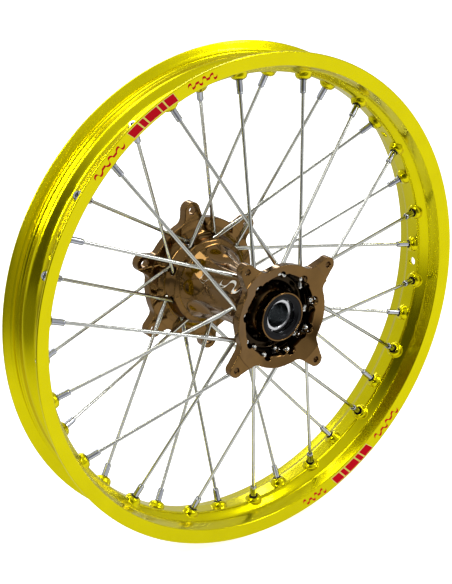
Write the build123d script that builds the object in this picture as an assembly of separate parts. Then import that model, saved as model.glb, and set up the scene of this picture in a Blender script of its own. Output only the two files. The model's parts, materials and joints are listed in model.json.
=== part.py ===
from build123d import *
import os
from math import asin, cos, hypot, radians, sin

# Spoked off-road motorcycle rear wheel, 2.15 x 19, with 36 straight-pull spokes.
# Millimetres. The origin is the wheel's centre: the rim's mid-plane on the axle line.
# The wheel turns about Y. The brake disc bolts on at the -Y side, the sprocket at the +Y side.
# An angle on the wheel is counted from +X towards +Z.

# Rim section: radius from the axle line, and distance from the mid-plane.
RIM_R = 255.5
RIM_HALF_WIDTH = 33.5
FLANGE_FOOT_R = 241.2
FLANGE_FOOT_Y = 31.3
SHOULDER_R = 239.0
SHOULDER_Y = 17.2
FLOOR_INNER_R = 231.3
FLOOR_OUTER_R = 234.5
FLOOR_HALF_WIDTH = 9.0
WELL_HALF_WIDTH = 8.0
LIP_INNER_Y = 31.2
BEAD_SEAT_R = 243.6
BEAD_SEAT_Y = 27.3
HUMP_Y = 23.6
HUMP_HEIGHT = 1.1
HUMP_HALF_WIDTH = 1.2
HUMP_FOOT_DROP = 0.3
SHELF_EDGE_R = 242.6
SHELF_EDGE_Y = 15.2
FLOOR_FILLET = 5.0
FLANGE_FOOT_FILLET = 1.2
FLANGE_TOP_FILLET = 1.2
LIP_FILLET = 0.9
BEAD_FILLET = 1.4
HUMP_FILLET = 0.4
SHELF_FILLET = 2.5

# Holes of the rim, between two nipples.
VALVE_ANGLE = 37.6
RIM_LOCK_ANGLES = (-2.4, 157.6)
VALVE_HOLE_R = 4.15
RIM_LOCK_HOLE_R = 4.3

# Nipple bosses pressed out of the rim's floor.
BOSS_TOP_R = 227.1
BOSS_BALL_R = 8.5
BOSS_BALL_DEPTH = 6.7
DIMPLE_R = 7.0
NIPPLE_HOLE_R = 3.45
WELL_TRIM = 0.4
TRIM_MARGIN = 1.0
TRIM_HEIGHT = 8.0
DIMPLE_STEP = 0.6
DIMPLE_RISE = 3.0
DIMPLE_CUT = 9.0

# Nipples.
NIPPLE_R = 3.2
NIPPLE_HEAD_R = 5.3
NIPPLE_OUT = 13.0
NIPPLE_SEAT = 6.2
NIPPLE_CONE = 1.2
NIPPLE_HEAD = 2.8
NIPPLE_CHAMFER = 0.5
NIPPLE_CHAMFER_LENGTH = 1.2
NIPPLE_RIM_EDGE = 0.6
NIPPLE_CROWN = 1.6
SLOT_WIDTH = 1.2
SLOT_DEPTH = 2.0
THREAD_R = 2.0
THREAD_GAP = 0.06

# Spokes.
SPOKE_R = 1.75
SPOKE_BUTT_R = 2.25
SPOKE_BUTT_LENGTH = 40.0
SPOKE_TAPER = 8.0
SPOKE_HEAD_R = 3.5
SPOKE_HEAD_SEAT = 3.0
SPOKE_HEAD_CROWN_R = 1.9
SPOKE_HEAD_CROWN = 1.75
SPOKE_HEAD_FILLETS = (0.8, 1.2, 0.4)
THREAD_INSIDE = 1.5
THREAD_RAMP = 0.4
SPOKE_END = 6.5
SPOKE_HOLE_R = 2.4
SPOKE_POCKET_R = 4.2
SPOKE_POCKET_LENGTH = 9.0
SPOKE_HOLE_LENGTH = 34.0
FIT_GAP = 0.05

# Lacing: 9 pairs to each flange, and each pair's spokes go 30 degrees each way.
PAIRS = 9
PAIR_STEP = 360 / PAIRS
RIM_SWING = 30.0
DISC_PAIR_ANGLE = 2.6
SPROCKET_PAIR_ANGLE = 32.6
DISC_NIPPLE_Y = -7.1
SPROCKET_NIPPLE_Y = 2.9
# Where each spoke's line crosses the reference radius at the hub: angle past its pair, and Y.
LINE_R = 42.0
DISC_BACK_LINE = (6.5, -57.0)
DISC_FORE_LINE = (-6.0, -50.1)
SPROCKET_BACK_LINE = (8.9, 64.4)
SPROCKET_FORE_LINE = (-4.9, 71.2)
# Distance of the head's centre from that crossing, along the spoke, towards the rim.
DISC_BACK_HEAD = 1.6
DISC_FORE_HEAD = -4.0
SPROCKET_BACK_HEAD = -5.5
SPROCKET_FORE_HEAD = -2.5

# Axle, bearings (25 x 47 x 12) and seals.
AXLE_R = 12.5
BEARING_R = 23.5
BEARING_WIDTH = 12.0
INNER_RACE_R = 15.7
OUTER_RACE_R = 20.3
PITCH_R = 18.0
BALL_R = 3.57
BALLS = 10
GROOVE_R = 3.62
CAGE_HALF_WIDTH = 4.8
CAGE_HALF_THICKNESS = 0.6
CAGE_POCKET_R = 3.64
RACE_CHAMFER = 0.8
SLEEVE_R = 15.5
SEAL_LIP_R = 17.2
SEAL_WALL = 1.8
SEAL_SET_BACK = 0.4
SEAL_FACE_THICKNESS = 2.6
SEAL_LIP_TIP = 3.6
SEAL_LIP_START = 1.8
SEAL_LIP_ROOT_R = 18.6
SEAL_BEVEL_R = 19.6
SEAL_FACE_R = 20.2
SEAL_BEVEL = 0.6
SEAL_FILLET = 0.3
DISC_BEARING_Y = -60.0
INBOARD_BEARING_Y = 46.5
CIRCLIP_THICKNESS = 1.6
CIRCLIP_INNER_R = 20.6
CIRCLIP_GROOVE_R = 24.6
CIRCLIP_GAP_WIDTH = 9.0
CIRCLIP_CLEARANCE = 0.1
CIRCLIP_EYE_R = 2.2
CIRCLIP_EYE_INSET = 0.6
CIRCLIP_EYE_HOLE_R = 1.0
CIRCLIP_EYE_ANGLE = 17.0

# Disc side of the hub.
DISC_PCD_R = 70.5
DISC_EAR_ANGLE = 37.6
DISC_EARS = 4
DISC_EAR_TIP_R = 7.6
DISC_BOLT_R = 3.0
DISC_SEAT_Y = -67.2
DISC_PILOT_R = 60.0
DISC_PILOT_Y = -68.7
DISC_FLANGE_R = 53.3
DISC_FLANGE_BACK_Y = -58.0
DISC_EAR_HALF_ROOT = 15.5
DISC_NECK_FILLET = 9.0
RECESS_R = 42.7
RECESS_Y = -63.4
RECESS_FILLET = 0.8
RECESS_BACK_R = 40.6
FLANGE_TRIM_R = 90.0
BOSS_R = 25.1
DISC_BOSS_Y = -66.8
BITE_R = 5.0
BITE_BACK_PITCH_R = 41.6
BITE_FORE_PITCH_R = 38.2
BITE_DEEP_Y = -52.0
BITE_FRONT_Y = -75.0

# Sprocket side of the hub.
SPROCKET_PCD_R = 75.0
SPROCKET_LUG_ANGLE = 37.6
SPROCKET_LUGS = 6
SPROCKET_LUG_TIP_R = 9.2
SPROCKET_BOLT_R = 4.1
SPROCKET_FACE_Y = 83.8
SPROCKET_INNER_Y = 73.4
SPROCKET_FLANGE_R = 64.5
SPROCKET_LUG_HALF_ROOT = 13.0
SPROCKET_NECK_FILLET = 8.0
SPROCKET_PILOT_R = 62.4
SPROCKET_PILOT_Y = 87.0
SPROCKET_RECESS_R = 52.0
SPROCKET_RING_R = 50.0
SPROCKET_BOSS_Y = 80.6

# Both flanges.
LUG_OVERLAP = 4.0
NECK_SEARCH = 0.5
EDGE_FILLET = 0.5
BOLT_HOLE_MARGIN = 4.0

# Half section of the turned core, bearing bosses and barrel: radius, Y and corner radius.
BORE_R = 19.5
CORE_WALL_R = 18.5
CORE_OUTLINE = [
    (CORE_WALL_R, -54.8),
    (BOSS_R - 1, -54.8),
    (BOSS_R - 1, -52.0),
    (31.5, -49.5, 0.6),
    (31.5, -45.5, 1.0),
    (38.5, -45.5, 2.0),
    (41.2, -60.0),
    (52.4, -60.0),
    (51.6, -57.0, 1.0),
    (46.0, -46.5, 3.0),
    (33.0, -33.0, 14.0),
    (28.6, -4.0, 60.0),
    (30.5, 26.0, 30.0),
    (34.5, 44.0, 3.0),
    (39.0, 52.0, 2.0),
    (40.5, 54.8, 1.5),
    (45.6, 57.0, 1.0),
    (49.0, 70.0, 2.5),
    (56.0, SPROCKET_INNER_Y, 2.0),
    (SPROCKET_FLANGE_R - 1, SPROCKET_INNER_Y),
    (SPROCKET_FLANGE_R - 1, SPROCKET_FACE_Y - 0.5),
    (SPROCKET_PILOT_R, SPROCKET_FACE_Y - 0.5),
    (SPROCKET_PILOT_R, SPROCKET_PILOT_Y, EDGE_FILLET),
    (SPROCKET_RECESS_R, SPROCKET_PILOT_Y, 1.0),
    (43.0, SPROCKET_INNER_Y + 1.0, 3.0),
    (36.0, 58.5, 3.0),
    (31.5, 58.5, 2.0),
    (27.4, 64.0, 3.0),
    (27.4, SPROCKET_BOSS_Y),
    (CORE_WALL_R, SPROCKET_BOSS_Y),
]
DISC_BOSS_OUTLINE = [
    (CORE_WALL_R, DISC_BOSS_Y),
    (BOSS_R, DISC_BOSS_Y, EDGE_FILLET),
    (BOSS_R, -56.0, 5.0),
    (31.0, -49.6),
    (CORE_WALL_R, -49.6),
]

# Flutes along the barrel.
FLUTE_R = 17.0
FLUTE_AXIS_R = 44.0
FLUTE_START_Y = -44.0
FLUTE_END_Y = 48.0

os.makedirs("parts", exist_ok=True)


def on_wheel(radius, angle, y):
    """The point at a radius and angle about the axle line."""
    return Vector(radius * cos(radians(angle)), y, radius * sin(radians(angle)))


def outline_face(outline):
    """A face from (x, y) or (x, y, corner radius) points."""
    corners = [point[:2] for point in outline]
    rounds = [point[2] if len(point) > 2 else 0 for point in outline]
    return make_face(FilletPolyline(*corners, radius=rounds, close=True))


def turned_on_axle(outline):
    """A solid of revolution about the axle line, from (radius, y) points."""
    return revolve(outline_face(outline), Axis.Y)


def turned_rod(outline):
    """A solid of revolution about Z, from (radius, distance) points."""
    return revolve(Plane.XZ * outline_face(outline), Axis.Z)


def tube(outer, inner, low, high):
    """A plain ring about the axle line."""
    return turned_on_axle([(inner, low), (outer, low), (outer, high), (inner, high)])


def write(shape, name):
    """Writes one sub-part."""
    shape.label = name
    export_step(shape, f"parts/{name}.step")


def spoke_line(flange, direction, pair):
    """Head centre, boss point and unit direction of one spoke; direction is -1 or +1."""
    if flange == "disc":
        start_angle = DISC_PAIR_ANGLE
        nipple_y = DISC_NIPPLE_Y
        line = DISC_FORE_LINE if direction > 0 else DISC_BACK_LINE
        head = DISC_FORE_HEAD if direction > 0 else DISC_BACK_HEAD
    else:
        start_angle = SPROCKET_PAIR_ANGLE
        nipple_y = SPROCKET_NIPPLE_Y
        line = SPROCKET_FORE_LINE if direction > 0 else SPROCKET_BACK_LINE
        head = SPROCKET_FORE_HEAD if direction > 0 else SPROCKET_BACK_HEAD
    angle = start_angle + PAIR_STEP * pair
    crossing = on_wheel(LINE_R, angle + line[0], line[1])
    at_rim = on_wheel(BOSS_TOP_R, angle + RIM_SWING * direction, nipple_y)
    along = (at_rim - crossing).normalized()
    return crossing + along * head, at_rim, along


FAMILIES = [(flange, direction) for flange in ("disc", "sprocket") for direction in (-1, 1)]
LINES = [spoke_line(*family, pair) for pair in range(PAIRS) for family in FAMILIES]


def along_line(origin, along, solid):
    """A solid turned about Z, moved so that Z lies along a spoke."""
    return Plane(origin=origin, z_dir=along).location * solid


def build_rim():
    """The rim: turned section, pressed bosses, nipple holes, valve and rim lock holes."""
    half = [
        (FLOOR_INNER_R, FLOOR_HALF_WIDTH, FLOOR_FILLET),
        (SHOULDER_R, SHOULDER_Y, FLOOR_FILLET),
        (FLANGE_FOOT_R, FLANGE_FOOT_Y, FLANGE_FOOT_FILLET),
        (RIM_R, RIM_HALF_WIDTH, FLANGE_TOP_FILLET),
        (RIM_R, LIP_INNER_Y, LIP_FILLET),
        (BEAD_SEAT_R, BEAD_SEAT_Y, BEAD_FILLET),
        (BEAD_SEAT_R, HUMP_Y + HUMP_HALF_WIDTH, HUMP_FILLET),
        (BEAD_SEAT_R + HUMP_HEIGHT, HUMP_Y, HUMP_FILLET),
        (BEAD_SEAT_R - HUMP_FOOT_DROP, HUMP_Y - HUMP_HALF_WIDTH, HUMP_FILLET),
        (SHELF_EDGE_R, SHELF_EDGE_Y, SHELF_FILLET),
        (FLOOR_OUTER_R, WELL_HALF_WIDTH, FLOOR_FILLET),
    ]
    mirrored = [(radius, -y, corner) for radius, y, corner in reversed(half)]
    rim = turned_on_axle(half + mirrored)
    bosses = [
        Pos(*(at_rim + along * BOSS_BALL_DEPTH)) * Sphere(BOSS_BALL_R)
        for _, at_rim, along in LINES
    ]
    well = turned_on_axle(
        [
            (FLOOR_OUTER_R - WELL_TRIM, -WELL_HALF_WIDTH - TRIM_MARGIN),
            (FLOOR_OUTER_R - WELL_TRIM, WELL_HALF_WIDTH + TRIM_MARGIN),
            (SHELF_EDGE_R - WELL_TRIM, SHELF_EDGE_Y + TRIM_MARGIN),
            (SHELF_EDGE_R + TRIM_HEIGHT, SHELF_EDGE_Y + TRIM_MARGIN),
            (SHELF_EDGE_R + TRIM_HEIGHT, -SHELF_EDGE_Y - TRIM_MARGIN),
            (SHELF_EDGE_R - WELL_TRIM, -SHELF_EDGE_Y - TRIM_MARGIN),
        ]
    )
    inside = Rot(90, 0, 0) * Cylinder(BOSS_TOP_R, 2 * RIM_HALF_WIDTH)
    trimmed = Part() + bosses - well - inside
    rim = rim + trimmed
    nipple_hole = Pos(0, 0, NIPPLE_SEAT / 2) * Cylinder(NIPPLE_HOLE_R, NIPPLE_SEAT + TRIM_HEIGHT)
    seat_top = NIPPLE_SEAT + NIPPLE_CONE
    dimple = turned_rod(
        [
            (0, NIPPLE_SEAT - DIMPLE_STEP),
            (NIPPLE_HOLE_R, NIPPLE_SEAT - DIMPLE_STEP),
            (NIPPLE_HEAD_R + 0.4, seat_top - 0.1),
            (DIMPLE_R, seat_top + DIMPLE_RISE),
            (DIMPLE_R, seat_top + DIMPLE_CUT),
            (0, seat_top + DIMPLE_CUT),
        ]
    )
    cuts = []
    for _, at_rim, along in LINES:
        cuts.append(along_line(at_rim, along, nipple_hole))
        cuts.append(along_line(at_rim, along, dimple))
    floor_holes = [(VALVE_ANGLE, VALVE_HOLE_R)]
    floor_holes += [(angle, RIM_LOCK_HOLE_R) for angle in RIM_LOCK_ANGLES]
    for angle, radius in floor_holes:
        middle = on_wheel(FLOOR_OUTER_R, angle, 0)
        cuts.append(along_line(middle, middle.normalized(), Cylinder(radius, 2 * TRIM_HEIGHT)))
    return rim - cuts


def build_nipple():
    """One nipple about Z, with Z = 0 at the top of its boss and +Z towards the tyre."""
    seat_top = NIPPLE_SEAT + NIPPLE_CONE
    body = turned_rod(
        [
            (0, -NIPPLE_OUT),
            (NIPPLE_R - NIPPLE_CHAMFER, -NIPPLE_OUT),
            (NIPPLE_R, -NIPPLE_OUT + NIPPLE_CHAMFER_LENGTH),
            (NIPPLE_R, NIPPLE_SEAT),
            (NIPPLE_HEAD_R, seat_top),
            (NIPPLE_HEAD_R, seat_top + NIPPLE_RIM_EDGE),
            (NIPPLE_HEAD_R - NIPPLE_CROWN, seat_top + NIPPLE_HEAD),
            (0, seat_top + NIPPLE_HEAD),
        ]
    )
    bore = Cylinder(THREAD_R + THREAD_GAP, 4 * NIPPLE_OUT)
    slot = Pos(0, 0, seat_top + NIPPLE_HEAD) * Box(4 * NIPPLE_R, SLOT_WIDTH, SLOT_DEPTH)
    return body - bore - slot


def build_spoke(length):
    """One spoke about Z, with its head's centre at Z = 0; length is head centre to boss top."""
    thread_start = length - NIPPLE_OUT + THREAD_INSIDE
    crown_fillet, side_fillet, seat_fillet = SPOKE_HEAD_FILLETS
    return turned_rod(
        [
            (0, -SPOKE_HEAD_R),
            (SPOKE_HEAD_CROWN_R, -SPOKE_HEAD_R, crown_fillet),
            (SPOKE_HEAD_R, -SPOKE_HEAD_CROWN, side_fillet),
            (SPOKE_HEAD_R, SPOKE_HEAD_SEAT - FIT_GAP, seat_fillet),
            (SPOKE_BUTT_R, SPOKE_HEAD_SEAT - FIT_GAP),
            (SPOKE_BUTT_R, SPOKE_BUTT_LENGTH),
            (SPOKE_R, SPOKE_BUTT_LENGTH + SPOKE_TAPER),
            (SPOKE_R, thread_start),
            (THREAD_R, thread_start + THREAD_RAMP),
            (THREAD_R, length + SPOKE_END),
            (0, length + SPOKE_END),
        ]
    )


def lugged_outline(core_r, count, angle, pitch_r, tip_r, half_root, neck):
    """A disc with rounded lugs, drawn in the XZ plane as X, Y of a sketch."""
    lug_root = core_r - LUG_OVERLAP
    reach = pitch_r - lug_root
    lean = asin((half_root - tip_r) / hypot(reach, half_root - tip_r))
    touch = Vector(pitch_r + tip_r * sin(lean), tip_r * cos(lean))
    lug = Polyline(
        (0, half_root),
        (lug_root, half_root),
        (touch.X, touch.Y),
        (touch.X, -touch.Y),
        (lug_root, -half_root),
        (0, -half_root),
        close=True,
    )
    one = make_face(lug) + Pos(pitch_r, 0) * Circle(tip_r)
    shape = Sketch() + Circle(core_r)
    for number in range(count):
        shape += Rot(0, 0, angle + 360 / count * number) * one
    necks = [
        vertex
        for vertex in shape.vertices()
        if abs(hypot(vertex.X, vertex.Y) - core_r) < NECK_SEARCH
    ]
    return fillet(necks, neck)


def plate(sketch, low, high):
    """A sketch of the wheel's side view, given thickness from one Y to another."""
    side = Plane(origin=(0, low, 0), x_dir=(1, 0, 0), z_dir=(0, -1, 0))
    return extrude(side * sketch, amount=low - high)


def ring_of(count, start, radius, low, high, pitch_r):
    """Round cutters parallel to the axle, on a circle."""
    one = Rot(90, 0, 0) * Cylinder(radius, high - low)
    return [
        Pos(*on_wheel(pitch_r, start + 360 / count * number, (low + high) / 2)) * one
        for number in range(count)
    ]


def build_hub():
    """The hub, machined from one billet."""
    inboard_end = INBOARD_BEARING_Y + 2 * BEARING_WIDTH
    core = turned_on_axle(CORE_OUTLINE)
    boss = turned_on_axle(DISC_BOSS_OUTLINE)
    disc_outline = lugged_outline(
        DISC_FLANGE_R,
        DISC_EARS,
        DISC_EAR_ANGLE,
        DISC_PCD_R,
        DISC_EAR_TIP_R,
        DISC_EAR_HALF_ROOT,
        DISC_NECK_FILLET,
    )
    front = turned_on_axle(
        [
            (RECESS_BACK_R, DISC_FLANGE_BACK_Y),
            (FLANGE_TRIM_R, DISC_FLANGE_BACK_Y),
            (FLANGE_TRIM_R, DISC_SEAT_Y),
            (DISC_PILOT_R, DISC_SEAT_Y),
            (DISC_PILOT_R, DISC_PILOT_Y, EDGE_FILLET),
            (RECESS_R, RECESS_Y, RECESS_FILLET),
        ]
    )
    disc_flange = plate(disc_outline, DISC_FLANGE_BACK_Y, DISC_PILOT_Y - 1) & front
    sprocket_outline = lugged_outline(
        SPROCKET_FLANGE_R,
        SPROCKET_LUGS,
        SPROCKET_LUG_ANGLE,
        SPROCKET_PCD_R,
        SPROCKET_LUG_TIP_R,
        SPROCKET_LUG_HALF_ROOT,
        SPROCKET_NECK_FILLET,
    )
    sprocket_flange = plate(sprocket_outline, SPROCKET_FACE_Y, SPROCKET_INNER_Y)
    sprocket_flange -= turned_on_axle(
        [
            (0, SPROCKET_INNER_Y - TRIM_HEIGHT),
            (SPROCKET_RING_R, SPROCKET_INNER_Y - TRIM_HEIGHT),
            (SPROCKET_RING_R, SPROCKET_FACE_Y + TRIM_MARGIN),
            (0, SPROCKET_FACE_Y + TRIM_MARGIN),
        ]
    )
    hub = core + boss + disc_flange + sprocket_flange
    flute = Rot(90, 0, 0) * Cylinder(FLUTE_R, FLUTE_END_Y - FLUTE_START_Y)
    flute = fillet(flute.edges().filter_by(GeomType.CIRCLE), FLUTE_R - 1)
    middle = (FLUTE_START_Y + FLUTE_END_Y) / 2
    flutes = [
        Pos(*on_wheel(FLUTE_AXIS_R, DISC_PAIR_ANGLE + PAIR_STEP * (number + 0.5), middle)) * flute
        for number in range(PAIRS)
    ]
    bores = turned_on_axle(
        [
            (0, DISC_BOSS_Y - TRIM_MARGIN),
            (BEARING_R, DISC_BOSS_Y - TRIM_MARGIN),
            (BEARING_R, DISC_BEARING_Y + BEARING_WIDTH),
            (BORE_R, DISC_BEARING_Y + BEARING_WIDTH),
            (BORE_R, INBOARD_BEARING_Y),
            (BEARING_R, INBOARD_BEARING_Y),
            (BEARING_R, inboard_end),
            (CIRCLIP_GROOVE_R, inboard_end),
            (CIRCLIP_GROOVE_R, inboard_end + CIRCLIP_THICKNESS),
            (BEARING_R, inboard_end + CIRCLIP_THICKNESS),
            (BEARING_R, SPROCKET_BOSS_Y + TRIM_MARGIN),
            (0, SPROCKET_BOSS_Y + TRIM_MARGIN),
        ]
    )
    bites = []
    for line, pitch_r in ((DISC_BACK_LINE, BITE_BACK_PITCH_R), (DISC_FORE_LINE, BITE_FORE_PITCH_R)):
        start_angle = DISC_PAIR_ANGLE + line[0]
        bites += ring_of(PAIRS, start_angle, BITE_R, BITE_FRONT_Y, BITE_DEEP_Y, pitch_r)
    cuts = flutes + [bores] + bites
    hole = Pos(0, 0, SPOKE_HOLE_LENGTH / 2 - TRIM_MARGIN) * Cylinder(SPOKE_HOLE_R, SPOKE_HOLE_LENGTH)
    pocket = Pos(0, 0, SPOKE_HEAD_SEAT - SPOKE_POCKET_LENGTH / 2)
    pocket *= Cylinder(SPOKE_POCKET_R, SPOKE_POCKET_LENGTH)
    for head, _, along in LINES:
        cuts.append(along_line(head, along, hole))
        cuts.append(along_line(head, along, pocket))
    ear_y = (DISC_SEAT_Y + DISC_FLANGE_BACK_Y) / 2
    reach = (DISC_FLANGE_BACK_Y - DISC_SEAT_Y) / 2 + BOLT_HOLE_MARGIN
    low, high = ear_y - reach, ear_y + reach
    cuts += ring_of(DISC_EARS, DISC_EAR_ANGLE, DISC_BOLT_R, low, high, DISC_PCD_R)
    low, high = SPROCKET_INNER_Y - BOLT_HOLE_MARGIN, SPROCKET_FACE_Y + BOLT_HOLE_MARGIN
    cuts += ring_of(SPROCKET_LUGS, SPROCKET_LUG_ANGLE, SPROCKET_BOLT_R, low, high, SPROCKET_PCD_R)
    return hub - cuts


def bearing_parts(low):
    """Outer race, inner race, balls and cage of one bearing whose low side is at Y = low."""
    middle = low + BEARING_WIDTH / 2
    high = low + BEARING_WIDTH
    groove = Pos(0, middle, 0) * Rot(90, 0, 0) * Torus(PITCH_R, GROOVE_R)
    outer = turned_on_axle(
        [
            (OUTER_RACE_R, low),
            (BEARING_R - FIT_GAP - RACE_CHAMFER, low),
            (BEARING_R - FIT_GAP, low + RACE_CHAMFER),
            (BEARING_R - FIT_GAP, high - RACE_CHAMFER),
            (BEARING_R - FIT_GAP - RACE_CHAMFER, high),
            (OUTER_RACE_R, high),
        ]
    )
    inner = turned_on_axle(
        [
            (AXLE_R, low + RACE_CHAMFER),
            (AXLE_R + RACE_CHAMFER, low),
            (INNER_RACE_R, low),
            (INNER_RACE_R, high),
            (AXLE_R + RACE_CHAMFER, high),
            (AXLE_R, high - RACE_CHAMFER),
        ]
    )
    places = [on_wheel(PITCH_R, 360 / BALLS * number, middle) for number in range(BALLS)]
    balls = Compound([Pos(*place) * Solid.make_sphere(BALL_R) for place in places])
    cage = tube(
        PITCH_R + CAGE_HALF_THICKNESS,
        PITCH_R - CAGE_HALF_THICKNESS,
        middle - CAGE_HALF_WIDTH,
        middle + CAGE_HALF_WIDTH,
    )
    pocket = Cylinder(CAGE_POCKET_R, 4 * BALL_R)
    cage -= [along_line(place, Vector(place.X, 0, place.Z), pocket) for place in places]
    return outer - groove, inner - groove, balls, cage


def build_seal(outer_y, inner_y):
    """A lipped oil seal between the boss's mouth and its bearing."""
    inward = 1 if inner_y > outer_y else -1
    face = outer_y + inward * SEAL_SET_BACK
    back = inner_y - inward * FIT_GAP
    wall_r = BEARING_R - FIT_GAP
    return turned_on_axle(
        [
            (wall_r, face, SEAL_FILLET),
            (wall_r, back, SEAL_FILLET),
            (wall_r - SEAL_WALL, back, SEAL_FILLET),
            (wall_r - SEAL_WALL, face + inward * SEAL_FACE_THICKNESS, SEAL_FILLET),
            (SEAL_LIP_ROOT_R, face + inward * SEAL_FACE_THICKNESS, SEAL_FILLET),
            (SEAL_LIP_R, face + inward * SEAL_LIP_TIP, 0.2),
            (SEAL_LIP_R, face + inward * SEAL_LIP_START, 0.2),
            (SEAL_BEVEL_R, face + inward * SEAL_BEVEL, SEAL_FILLET),
            (SEAL_FACE_R, face, SEAL_FILLET),
        ]
    )


def build_circlip(low):
    """The spring ring in the sprocket side's groove, with its two eyes."""
    bottom, top = low + FIT_GAP, low + CIRCLIP_THICKNESS - FIT_GAP
    ring = tube(CIRCLIP_GROOVE_R - CIRCLIP_CLEARANCE, CIRCLIP_INNER_R, bottom, top)
    eye = Rot(90, 0, 0) * Cylinder(CIRCLIP_EYE_R, top - bottom)
    pin_hole = Rot(90, 0, 0) * Cylinder(CIRCLIP_EYE_HOLE_R, 2 * CIRCLIP_THICKNESS)
    middle = low + CIRCLIP_THICKNESS / 2
    gap = Box(CIRCLIP_GAP_WIDTH, 2 * CIRCLIP_THICKNESS, 2 * CIRCLIP_GAP_WIDTH)
    ring -= Pos(0, middle, -BEARING_R) * gap
    for angle in (-90 - CIRCLIP_EYE_ANGLE, -90 + CIRCLIP_EYE_ANGLE):
        place = on_wheel(CIRCLIP_INNER_R + CIRCLIP_EYE_INSET, angle, middle)
        ring = ring + Pos(*place) * eye - Pos(*place) * pin_hole
    return ring


write(build_rim(), "rim")
write(build_hub(), "hub")

for number, (head, at_rim, along) in enumerate(LINES, start=1):
    spoke = along_line(head, along, build_spoke((at_rim - head).length))
    write(spoke, f"spoke_{number:02d}")

nipple = build_nipple()
family_names = ["disc_trailing", "disc_leading", "sprocket_trailing", "sprocket_leading"]
for index, family_name in enumerate(family_names):
    members = LINES[index :: len(FAMILIES)]
    group = Compound([along_line(at_rim, along, nipple).solid() for _, at_rim, along in members])
    write(group, f"nipples_{family_name}")

bearings = {
    "disc_bearing": DISC_BEARING_Y,
    "inboard_sprocket_bearing": INBOARD_BEARING_Y,
    "outboard_sprocket_bearing": INBOARD_BEARING_Y + BEARING_WIDTH,
}
for bearing_name, low in bearings.items():
    pieces = bearing_parts(low)
    for piece, piece_name in zip(pieces, ("outer_race", "inner_race", "balls", "cage")):
        write(piece, f"{bearing_name}_{piece_name}")

sleeve = tube(SLEEVE_R, AXLE_R, DISC_BEARING_Y + BEARING_WIDTH, INBOARD_BEARING_Y)
write(sleeve, "distance_sleeve")
circlip_y = INBOARD_BEARING_Y + 2 * BEARING_WIDTH
write(build_circlip(circlip_y), "bearing_circlip")
write(build_seal(DISC_BOSS_Y, DISC_BEARING_Y), "disc_side_seal")
write(build_seal(SPROCKET_BOSS_Y, circlip_y + CIRCLIP_THICKNESS), "sprocket_side_seal")
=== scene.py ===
import bpy, bmesh, json, openvdb
import numpy as np
from math import atan2, cos, degrees, hypot, pi, radians, sin
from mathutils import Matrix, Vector
from mathutils.bvhtree import BVHTree


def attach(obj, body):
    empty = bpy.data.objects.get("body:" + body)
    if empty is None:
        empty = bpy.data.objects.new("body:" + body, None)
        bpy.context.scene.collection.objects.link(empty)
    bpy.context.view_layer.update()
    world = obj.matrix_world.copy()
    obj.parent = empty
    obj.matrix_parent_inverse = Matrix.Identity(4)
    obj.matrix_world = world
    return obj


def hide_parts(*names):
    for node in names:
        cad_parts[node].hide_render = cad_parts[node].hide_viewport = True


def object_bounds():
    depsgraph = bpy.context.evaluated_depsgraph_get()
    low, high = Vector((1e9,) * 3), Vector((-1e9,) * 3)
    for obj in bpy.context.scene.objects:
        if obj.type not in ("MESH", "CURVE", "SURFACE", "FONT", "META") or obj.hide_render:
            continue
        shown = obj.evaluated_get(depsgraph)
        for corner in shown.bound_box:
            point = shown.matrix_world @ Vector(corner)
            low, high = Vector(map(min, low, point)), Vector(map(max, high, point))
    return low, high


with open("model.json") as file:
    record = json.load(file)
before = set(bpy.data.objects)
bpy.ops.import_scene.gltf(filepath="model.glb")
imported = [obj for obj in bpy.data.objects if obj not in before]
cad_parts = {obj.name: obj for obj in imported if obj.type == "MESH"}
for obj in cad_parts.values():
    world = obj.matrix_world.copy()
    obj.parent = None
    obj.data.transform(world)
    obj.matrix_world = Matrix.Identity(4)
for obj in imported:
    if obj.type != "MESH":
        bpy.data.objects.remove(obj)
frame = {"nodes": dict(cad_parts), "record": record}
NODES = frame["nodes"]
CAD_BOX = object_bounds()

MM = 0.001
FLOOR_Z = CAD_BOX[0].z
# The share of a noise texture below which a ramp has its first value, and above which it has its last.
NOISE_LOW, NOISE_HIGH = 0.3, 0.7
# Depth of the finest grain of a metal or rubber surface, in metres.
GRAIN_DEPTH = 0.0001


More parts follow.
